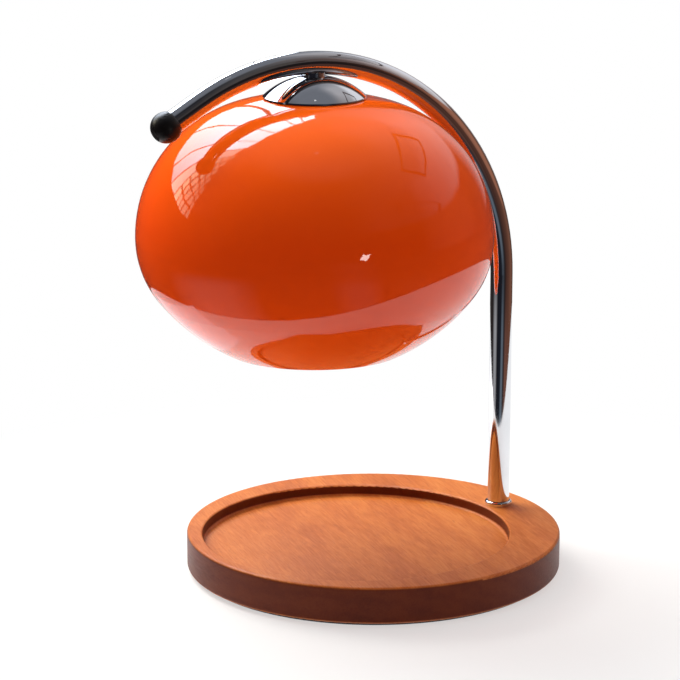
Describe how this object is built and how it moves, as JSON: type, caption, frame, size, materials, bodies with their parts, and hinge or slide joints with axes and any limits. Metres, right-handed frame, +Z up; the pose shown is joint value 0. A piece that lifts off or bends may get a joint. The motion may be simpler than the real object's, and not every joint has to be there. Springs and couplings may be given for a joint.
{
  "type": "candle warmer lamp",
  "caption": "Table lamp with a round wooden base, a bent chromed arm and an orange glass shade that hangs over a recess for a jar candle.",
  "frame": {"origin": "centre of the round base at the underside of its pad", "axes": "+Z up; +X from the base's centre towards the arm's post; the arm lies in the XZ plane and leads back over the base towards -X"},
  "size_m": [0.2307, 0.2, 0.2811],
  "materials": {
    "wood": "satin",
    "pad": "matte",
    "black_rubber": "matte",
    "chrome": "polished",
    "zinc_steel": "satin",
    "black_plastic": "gloss",
    "orange_glass": "gloss",
    "gasket": "matte",
    "white_metal": "satin",
    "ceramic": "gloss",
    "brass": "polished",
    "bulb_glass": "gloss",
    "reflector": "polished",
    "tungsten": "satin",
    "white_plastic": "satin",
    "wire_white": "satin"
  },
  "bodies": {
    "stand": {"wood_base": "wood", "bottom_pad": "pad", "cord_bushing": "black_rubber", "terminal_block": "white_plastic", "terminal_sleeves": "brass", "terminal_screws": "zinc_steel", "terminal_fixing_screw": "zinc_steel", "post_flange": "chrome", "post_stud": "zinc_steel", "post_washer": "zinc_steel", "post_lock_washer": "zinc_steel", "post_nut": "zinc_steel", "arm_tube": "chrome", "arm_end_cap": "black_plastic", "lead_wires": "wire_white", "neck_collar": "chrome", "head_nipple": "zinc_steel", "cap_nut": "zinc_steel", "shade_cap": "chrome", "cap_gasket": "gasket", "glass_shade": "orange_glass", "gallery_gasket": "gasket", "gallery_plate": "white_metal", "holder_bracket": "zinc_steel", "bracket_washer": "zinc_steel", "bracket_nut": "zinc_steel", "lamp_holder": "ceramic", "holder_contacts": "brass", "holder_screws": "zinc_steel"},
    "bulb": {"bulb_base": "ceramic", "bulb_pins": "zinc_steel", "bulb_reflector": "reflector", "bulb_lens": "bulb_glass", "bulb_capsule": "bulb_glass", "bulb_filament": "tungsten"}
  },
  "joints": [
    {"name": "bulb_twist", "type": "hinge", "parent": "stand", "child": "bulb", "pos_m": [-0.036, 0, 0.224], "axis": [0, 0, 1], "range_deg": [-20, 0]}
  ]
}
